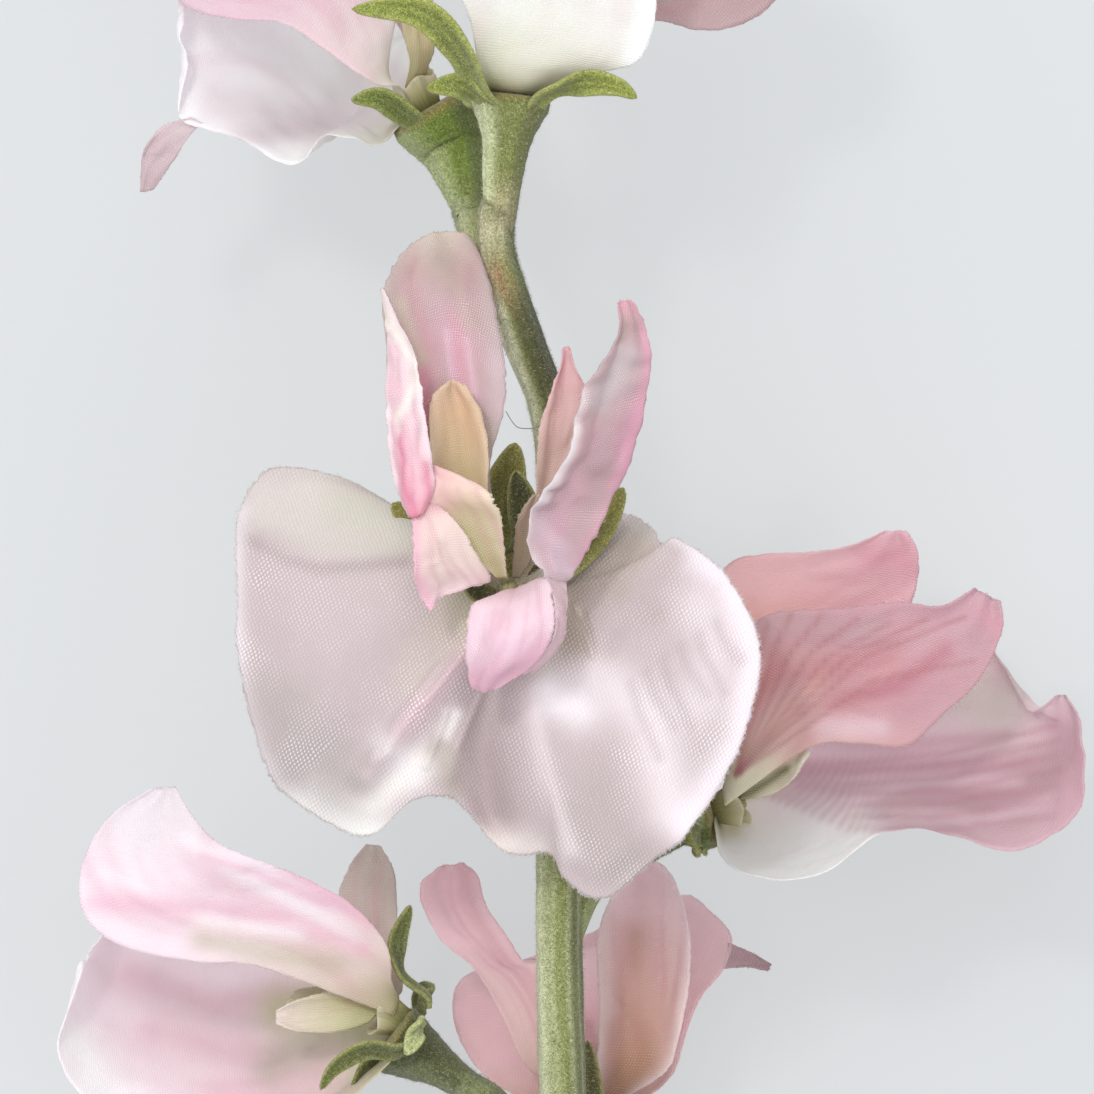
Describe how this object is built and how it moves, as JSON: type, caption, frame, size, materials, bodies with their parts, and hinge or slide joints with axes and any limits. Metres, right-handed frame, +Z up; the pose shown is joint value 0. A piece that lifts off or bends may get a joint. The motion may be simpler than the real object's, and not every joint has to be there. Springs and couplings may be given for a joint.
{
  "type": "artificial sweet pea spray",
  "caption": "Cut spray of fabric sweet pea: a flocked green stem with butterfly-shaped blooms, each a calyx, a broad standard, a pair of wings and a small keel, lying on its side.",
  "frame": {"origin": "centre of the spray's outline, on the table it lies on", "axes": "+Y along the stem from its cut end to the last bloom, +Z up from the table, +X to the right seen from above"},
  "size_m": [0.1093, 0.2059, 0.0582],
  "materials": {
    "stem_flock": "soft flocked plastic over wire, grey-green",
    "calyx_green": "flocked moulded plastic, olive green",
    "standard_cloth": "sheer woven cloth, satin, pale pink to white",
    "wing_cloth": "sheer woven cloth, satin, pink",
    "keel_cloth": "sheer woven cloth, beige to green-cream"
  },
  "bodies": {
    "root": {"stem": "stem_flock", "calyx_centre": "calyx_green", "standard_centre": "standard_cloth", "wings_centre": "wing_cloth", "keel_centre": "keel_cloth", "calyx_right": "calyx_green", "standard_right": "standard_cloth", "wings_right": "wing_cloth", "keel_right": "keel_cloth", "calyx_low_left": "calyx_green", "standard_low_left": "standard_cloth", "wings_low_left": "wing_cloth", "keel_low_left": "keel_cloth", "calyx_low_back": "calyx_green", "standard_low_back": "standard_cloth", "wings_low_back": "wing_cloth", "keel_low_back": "keel_cloth", "calyx_top_left": "calyx_green", "standard_top_left": "standard_cloth", "wings_top_left": "wing_cloth", "keel_top_left": "keel_cloth", "calyx_top": "calyx_green", "standard_top": "standard_cloth", "wings_top": "wing_cloth", "keel_top": "keel_cloth"}
  },
  "joints": []
}
